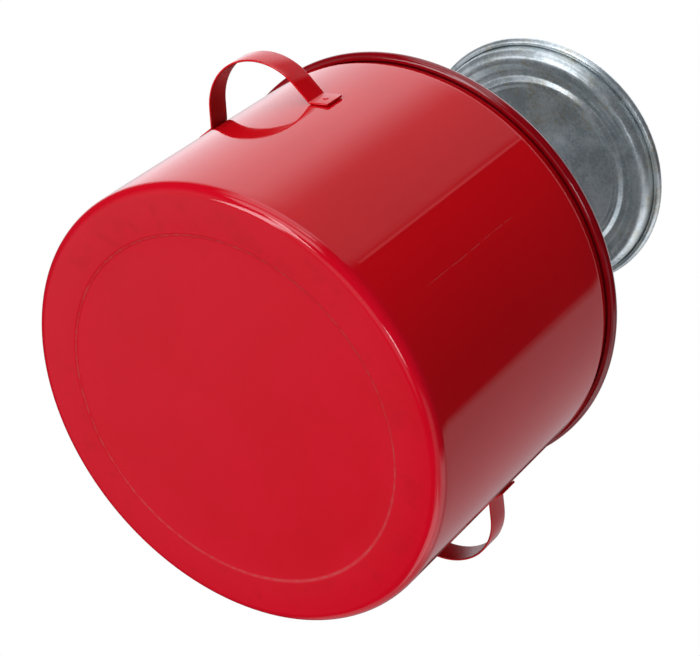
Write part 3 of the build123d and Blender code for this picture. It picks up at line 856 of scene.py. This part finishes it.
@dataclass
class StrapHandles:
    """Two flat straps bent into arches, with a tab turned out at each foot and welded on."""

    low: float
    width: float
    can_radius: float
    lean: float = 2.6
    thickness: float = 1.2
    crown_radius: float = 154.0
    shoulder: float = 22.6
    crown_bend: float = 34.0
    foot_bend: float = 2.0
    foot_angle: float = 16.4
    tab_angle: float = 21.6
    foot_gap: float = 0.15
    tab_lift: float = 0.6
    edge: float = 0.45
    corner: float = 0.9
    weld_radius: float = 1.7
    weld_crown: float = 0.35
    weld_root: float = 0.6
    bend_step: float = 5.0
    edge_steps: int = 4
    corner_steps: int = 6

    @classmethod
    def from_frame(cls) -> "StrapHandles":
        """Takes the straps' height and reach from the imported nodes."""
        low, high = node_box("handle_right")
        radius = node_box("can_bottom")[1].x
        return cls(low=low.z, width=high.z - low.z, can_radius=radius)

    def build(self) -> None:
        """Builds both straps and the welds in their tabs."""
        sides = {"right": -self.lean, "left": 180 + self.lean}
        for side, angle in sides.items():
            piece = self.strap(angle).piece(f"strap_handle_{side}")
            settle(piece, "can", "red_enamel", RedEnamel(Painted.STRAP), f"handle_{side}")
        welds = MeshPlan([], [])
        for angle in sides.values():
            for side in (-1, 1):
                welds.join(self.weld(angle + side * (self.foot_angle + self.tab_angle) / 2))
        piece = welds.piece("strap_welds")
        settle(piece, "can", "weld", RedEnamel(Painted.WELD), "handle_plug_welds")

    def on_strap(self, angle: float, gap: float) -> Point2:
        """Point on the strap's middle that stands off the wall by a gap."""
        return on_circle(self.can_radius + gap + self.thickness / 2, angle)

    def middle_line(self) -> list[Point2]:
        """The strap's middle, seen from above, for a handle that points along X."""
        foot = self.on_strap(self.foot_angle, self.foot_gap)
        end = self.on_strap(self.tab_angle, self.tab_lift)
        corners = (
            end,
            foot,
            (self.crown_radius, self.shoulder),
            (self.crown_radius, -self.shoulder),
            (foot[0], -foot[1]),
            (end[0], -end[1]),
        )
        bends = (self.foot_bend, self.crown_bend, self.crown_bend, self.foot_bend)
        return self.with_corner_steps(bent_line(corners, bends, self.bend_step))

    def with_corner_steps(self, line: list[Point2]) -> list[Point2]:
        """Adds points near both ends, where the tab's corners are rounded off."""
        turn = radians(QUARTER_TURN) / self.corner_steps
        steps = [self.corner * (1 - cos(turn * k)) for k in range(1, self.corner_steps + 1)]
        near, far = [
            [tuple(Vector(end) + (Vector(inner) - Vector(end)).normalized() * s) for s in steps]
            for end, inner in (line[:2], line[:-3:-1])
        ]
        return [line[0], *near, *line[1:-1], *far[::-1], line[-1]]

    def strap(self, angle: float) -> MeshPlan:
        """Sweeps the strap's section along its middle and turns it to its place."""
        line = self.middle_line()
        lengths = [0.0]
        for a, b in zip(line, line[1:]):
            lengths.append(lengths[-1] + hypot(b[0] - a[0], b[1] - a[1]))
        rings = []
        for i, point in enumerate(line):
            from_end = min(lengths[i], lengths[-1] - lengths[i])
            rings.append(self.section(point, direction(line, i), from_end, angle))
        return swept(rings)

    def section(self, point: Point2, along: Vector, from_end: float, angle: float) -> list[Point3]:
        """One ring of the strap.

        Args:
            point: The strap's middle, seen from above.
            along: The strap's direction there.
            from_end: Distance to the nearer end of the strap.
            angle: The angle that the handle points at.

        Returns:
            The ring's points: a flat rectangle with rounded edges.
        """
        short = max(0.0, self.corner - from_end)
        trim = self.corner - sqrt(max(0.0, self.corner ** 2 - short ** 2))
        half_width = self.width / 2 - trim - self.edge
        half_thick = self.thickness / 2 - self.edge
        middle = self.low + self.width / 2
        ring = []
        for across, up, start in ((1, 1, 0), (-1, 1, 90), (-1, -1, 180), (1, -1, 270)):
            for k in range(self.edge_steps + 1):
                out, rise = on_circle(self.edge, start + QUARTER_TURN * k / self.edge_steps)
                side = across * half_thick + out
                x = point[0] + along.y * side
                y = point[1] - along.x * side
                height = middle + up * half_width + rise
                turned = Matrix.Rotation(radians(angle), 2) @ Vector((x, y))
                ring.append((turned.x, turned.y, height))
        return ring

    def weld(self, angle: float) -> MeshPlan:
        """A low domed weld through a tab, whose middle is at that angle round the can."""
        base = self.can_radius + (self.foot_gap + self.tab_lift) / 2 + self.thickness
        profile = [(0.0, self.weld_crown)]
        profile += [(self.weld_radius * sin(radians(a)), self.weld_crown * cos(radians(a)))
                    for a in range(10, 91, 10)]
        profile += [(self.weld_radius, -self.weld_root), (0.0, -self.weld_root)]
        plan = revolved(profile, False, columns(WELD_FACETS))
        outward = Matrix.Rotation(radians(QUARTER_TURN), 3, "Y")
        placed = Matrix.Rotation(radians(angle), 3, "Z") @ outward
        origin = Vector((*on_circle(base, angle), self.low + self.width / 2))
        plan.points = [tuple(origin + placed @ Vector(point)) for point in plan.points]
        return plan


# ---- the pump
@dataclass
class Pump:
    """The pump's parts that are made here: its coil spring and the welds of its foot."""

    spring_low: float
    spring_high: float
    travel: float
    wire: float = 2.0
    mean_radius: float = 11.4
    turns: float = 16.5
    closed_turns: float = 1.25
    ease_turns: float = 0.5
    closed_climb: float = 0.26
    steps_per_turn: int = 40
    wire_facets: int = 12
    foot_weld_circle: float = 42.0
    foot_welds: int = 6
    weld_radius: float = 2.2
    weld_low: float = 1.4
    weld_face: float = 2.9
    weld_crown: float = 0.35

    @classmethod
    def from_frame(cls) -> "Pump":
        """Takes the spring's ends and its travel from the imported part."""
        low, high = node_box("return_spring")
        joints = {joint["name"]: joint for joint in frame["joints"]}
        travel = joints["plunger_travel"]["range_m"][1] / MM
        return cls(spring_low=low.z, spring_high=high.z, travel=travel)

    def build(self) -> None:
        """Builds the spring and the foot's welds."""
        spring = self.spring().piece("return_spring_coil")
        settle(spring, "can", "bright_steel", STEEL, "return_spring")
        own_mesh(spring)
        piece = self.welds().piece("foot_weld_nuggets")
        settle(piece, "can", "weld", ZINC, "foot_plug_welds")

    def spring(self) -> MeshPlan:
        """Coils the spring, with its end turns closed up against the next one."""
        count = round(self.turns * self.steps_per_turn)
        room = self.spring_high - self.spring_low - self.wire
        shares = [self.open_share(k / self.steps_per_turn) for k in range(count)]
        total = sum(shares)
        rings = []
        height = self.spring_low + self.wire / 2
        for k in range(count + 1):
            angle = FULL_TURN * k / self.steps_per_turn
            ring = []
            for j in range(self.wire_facets):
                out, rise = on_circle(self.wire / 2, FULL_TURN * j / self.wire_facets)
                ring.append((*on_circle(self.mean_radius + out, angle), height + rise))
            rings.append(ring)
            if k < count:
                height += room * shares[k] / total
        return swept(rings)

    def open_share(self, turn: float) -> float:
        """How steeply the coil climbs at a turn: little where the end turns are closed."""
        from_end = min(turn, self.turns - turn)
        opened = (from_end - self.closed_turns) / self.ease_turns + 1
        ease = max(0.0, min(1.0, opened))
        return self.closed_climb + (1 - self.closed_climb) * ease * ease * (3 - 2 * ease)

    def welds(self) -> MeshPlan:
        """The domed welds through the pump's foot."""
        profile = [(0.0, self.weld_low), (self.weld_radius, self.weld_low)]
        for angle in range(0, 90, 10):
            out, rise = on_circle(1.0, angle)
            profile.append((self.weld_radius * out, self.weld_face + self.weld_crown * rise))
        profile.append((0.0, self.weld_face + self.weld_crown))
        return spaced_round(profile, WELD_FACETS, self.foot_weld_circle, self.foot_welds)


# ---- the wash pan
@dataclass
class WashPan:
    """The galvanised pan: flat floor, pressed ring, gutter and a wired edge, with drain holes."""

    radius: float
    gutter_low: float
    rim_top: float
    sheet: float = 0.8
    bead: float = 2.6
    hole: float = 8.05
    ring: float = 57.2
    ring_depth: float = 2.5
    ring_half_width: float = 3.8
    gutter_inner: float = 65.5
    gutter_slope: float = 5.0
    gutter_depth: float = 4.5
    bends: tuple[float, ...] = (3.0, 2.5, 3.0, 5.0, 5.0, 5.2)
    roll: float = 290.0
    drains: int = 10
    drain_circle: float = 15.8
    drain_radius: float = 1.5
    drain_margin: float = 4.0
    drain_facets: int = 32
    bend_step: float = 6.0
    facets: int = 300

    @classmethod
    def from_frame(cls) -> "WashPan":
        """Takes the pan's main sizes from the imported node."""
        low, high = node_box("wash_pan")
        return cls(radius=high.x, gutter_low=low.z, rim_top=high.z)

    def build(self) -> Piece:
        """Builds the pan and drills its drains."""
        plan = revolved(sheet_outline(self.middle_line(), self.sheet), True, columns(self.facets))
        piece = plan.piece("wash_pan_dish")
        self.drill(piece)
        return settle(piece, "plunger", "galvanised", Galvanised(), "wash_pan")

    def middle_line(self) -> list[Point2]:
        """The middle of the pan's sheet, from its centre hole out to the rolled edge."""
        roll_line = self.bead - self.sheet / 2
        gutter = self.gutter_low + self.sheet / 2
        floor = gutter + self.gutter_depth
        centre = (self.radius - self.bead, self.rim_top - self.bead)
        corners = (
            (self.hole, floor),
            (self.ring - self.ring_half_width, floor),
            (self.ring, floor - self.ring_depth),
            (self.ring + self.ring_half_width, floor),
            (self.gutter_inner, floor),
            (self.gutter_inner + self.gutter_slope, gutter),
            (centre[0] - roll_line, gutter),
            (centre[0] - roll_line, centre[1]),
        )
        line = bent_line(corners, self.bends, self.bend_step)
        near, far = self.drain_circle - self.drain_margin, self.drain_circle + self.drain_margin
        line[1:1] = [(near, floor), (far, floor)]
        return line + arc(centre, roll_line, 180.0, -self.roll)[1:]

    def drill(self, piece: Piece) -> None:
        """Cuts the drain holes and keeps the result as the piece's mesh."""
        low, high = self.gutter_low, self.rim_top + self.bead
        profile = [(0.0, low), (self.drain_radius, low), (self.drain_radius, high), (0.0, high)]
        cutters = spaced_round(profile, self.drain_facets, self.drain_circle, self.drains)
        tool = cutters.piece("drain_cutters")
        modifier = piece.modifiers.new("drains", "BOOLEAN")
        modifier.object = tool
        modifier.operation = "DIFFERENCE"
        modifier.solver = "EXACT"
        graph = bpy.context.evaluated_depsgraph_get()
        cut = bpy.data.meshes.new_from_object(piece.evaluated_get(graph))
        piece.modifiers.clear()
        piece.data = cut
        cut.shade_smooth()
        cut.set_sharp_from_angle(angle=SMOOTH_BELOW)
        bpy.data.objects.remove(tool)


# ---- pieces kept as they are
CARRIED = {
    "rim_wire": STEEL,
    "pump_foot": ZINC_TURNED,
    "pump_barrel": BRASS,
    "intake_strainer": STEEL,
    "foot_valve_seat": BRASS_TURNED,
    "foot_valve_ball": POLISHED,
    "ball_cage": ZINC_TURNED,
    "barrel_cap": BRASS_TURNED,
    "stem_bush": BRONZE,
    "spring_seat_washer": ZINC_TURNED,
    "piston": BRONZE,
    "piston_cup": NITRILE,
    "piston_pin": STEEL,
    "delivery_ball": POLISHED,
    "piston_bumper": NITRILE,
    "stem_tube": ZINC,
    "pan_rim_wire": STEEL,
    "stem_collar": Galvanised(),
    "pan_washer": FIBRE,
    "pan_nut": ZINC_TURNED,
    "outlet_cap": BRASS_TURNED,
}


def dress_carried(finishes: dict[str, Finish]) -> None:
    """Gives each CAD node that is shown as it is the finish of its metal or rubber."""
    for node, finish in finishes.items():
        finish.dress(frame["nodes"][node])
        LOG.info("%s carried over in %s", node, finish.name)


# ---- the studio
@dataclass(frozen=True)
class Softbox:
    """A panel of soft light far from the can.

    Azimuth and elevation are of its middle, in degrees, as seen from the can. Its halves are
    how far it reaches to each side, and the feather is how far its edges fade.
    """

    name: str
    azimuth: float
    elevation: float
    half_width: float
    half_height: float
    feather: float
    radiance: float

    def glow(self, graph: Graph, azimuth: Value, elevation: Value) -> Value:
        """Radiance that the panel adds in a direction."""
        turned = graph.math("WRAP", azimuth - self.azimuth, FULL_TURN / 2, -FULL_TURN / 2)
        across = self.within(turned, self.half_width)
        return across * self.within(elevation - self.elevation, self.half_height) * self.radiance

    def within(self, away: Value, half: float) -> Value:
        """1 where it is less than half the panel away from its middle, with a faded edge."""
        return abs(away).rising(half + self.feather / 2, half - self.feather / 2)


SOFTBOXES = (
    Softbox("rear bank", 136, 66, 46, 34, 30, 0.95),
    Softbox("rear fill", 156, 62, 76, 36, 8, 0.40),
    Softbox("rear right", 64, 61, 18, 12, 3, 0.50),
    Softbox("left side", 198, 13, 20, 24, 14, 1.5),
    Softbox("left low", 198, -31, 22, 12, 8, 2.4),
    Softbox("right bank", 5, 25, 42, 48, 7, 0.43),
    Softbox("right strip", -16, 0, 22, 18, 12, 0.75),
    Softbox("overhead", 0, 90, 180, 26, 12, 0.9),
    Softbox("low front", 112, -46, 42, 16, 36, 0.42),
    Softbox("low rear", 150, -63, 32, 6, 4, 6.5),
    Softbox("low right", -24, -36, 36, 15, 12, 0.42),
    Softbox("right low", 4, -28, 18, 12, 10, 1.2),
    Softbox("low key", 192, -56, 6, 13, 3, 8.5),
    Softbox("second key", -73, -68, 14, 4, 3, 8.0),
    Softbox("side strip", -145, 2, 4, 3, 2, 3.0),
    Softbox("under", 0, -90, 180, 18, 12, 0.6),
)


@dataclass
class Studio:
    """Camera, soft light and the pale floor."""

    camera_place: Point3 = (-266.98, -768.80, -727.70)
    aim: Point3 = (-1.2, -18.4, 90.9)
    roll: float = 51.08
    lens: float = 109.1
    sensor: float = 36.0
    clip: tuple[float, float] = (50.0, 50000.0)
    tint: Colour = (0.97, 0.98, 1.03)
    base_glow: float = 0.03
    floor_radius: float = 20000.0
    floor_facets: int = 96
    floor_gap: float = 0.4
    floor_fade: tuple[float, float] = (260.0, 1500.0)
    paper: Colour = (0.95, 0.95, 0.945)
    paper_shade: Colour = (0.92, 0.92, 0.915)

    def camera(self) -> Piece:
        """Sets up the camera, which looks up at the can's bottom from one side."""
        data = bpy.data.cameras.new("camera")
        data.lens = self.lens
        data.sensor_width = self.sensor
        data.clip_start, data.clip_end = (distance * MM for distance in self.clip)
        camera = bpy.data.objects.new("camera", data)
        place = Vector(self.camera_place) * MM
        facing = (Vector(self.aim) * MM - place).to_track_quat("-Z", "Y")
        camera.location = place
        camera.rotation_mode = "QUATERNION"
        camera.rotation_quaternion = facing @ Quaternion((0, 0, 1), radians(self.roll))
        bpy.context.scene.collection.objects.link(camera)
        bpy.context.scene.camera = camera
        return camera

    def light(self) -> None:
        """Lights the can with the softboxes, before a white backdrop."""
        world = bpy.data.worlds.new("studio")
        world.use_nodes = True
        bpy.context.scene.world = world
        graph = Graph(world.node_tree)
        x, y, z = graph.split(graph.add("TexCoord").outputs["Generated"])
        azimuth = graph.math("ARCTAN2", y, x) * degrees(1)
        elevation = graph.math("ARCSINE", z) * degrees(1)
        total = None
        for box in SOFTBOXES:
            glow = box.glow(graph, azimuth, elevation)
            total = glow + self.base_glow if total is None else total + glow
        shine = graph.add("Background", None, {"Color": self.tint, "Strength": total})
        white = graph.add("Background", None, {"Color": (1, 1, 1), "Strength": 1.0})
        seen = graph.add("LightPath").outputs["Is Camera Ray"]
        shown = graph.mix_shaders(seen, shine.outputs[0], white.outputs[0])
        graph.add("OutputWorld", None, {"Surface": shown})
        LOG.info("studio lit by %d softboxes", len(SOFTBOXES))

    def floor(self) -> Piece:
        """Lays a pale paper floor under the can, which shows from above only."""
        angles = columns(self.floor_facets)
        points = [(0.0, 0.0, -self.floor_gap)]
        points += [(*on_circle(self.floor_radius, a), -self.floor_gap) for a in angles]
        count = len(angles)
        faces = [(0, 1 + k, 1 + (k + 1) % count) for k in range(count)]
        floor = MeshPlan(points, faces).piece("studio_floor")
        graph = Surface("floor_paper")
        tone = graph.noise(180, 3).rising(0.3, 0.8)
        colour = graph.mix(tone * 0.5, self.paper, self.paper_shade)
        normal = graph.relief(graph.noise(1.5, 3), 0.02)
        shader = graph.shader(colour, 0.75 + 0.1 * tone, normal)
        clear = graph.add("BsdfTransparent").outputs["BSDF"]
        below = Value(graph, graph.add("NewGeometry").outputs["Backfacing"])
        hidden = graph.math("MAXIMUM", below, graph.radius.rising(*self.floor_fade))
        floor.data.materials.append(graph.close(graph.mix_shaders(hidden, shader, clear)))
        for ray in ("diffuse", "glossy", "transmission", "shadow"):
            setattr(floor, f"visible_{ray}", False)
        return floor


def main() -> None:
    """Builds the studio, then each sub-assembly in order."""
    logging.basicConfig(level=logging.INFO, format="%(name)s %(message)s")
    bpy.context.scene.view_settings.view_transform = "Standard"
    studio = Studio()
    studio.camera()
    studio.light()
    studio.floor()
    Can.from_frame().build()
    StrapHandles.from_frame().build()
    Pump.from_frame().build()
    WashPan.from_frame().build()
    dress_carried(CARRIED)


if __name__ == "__main__":
    main()
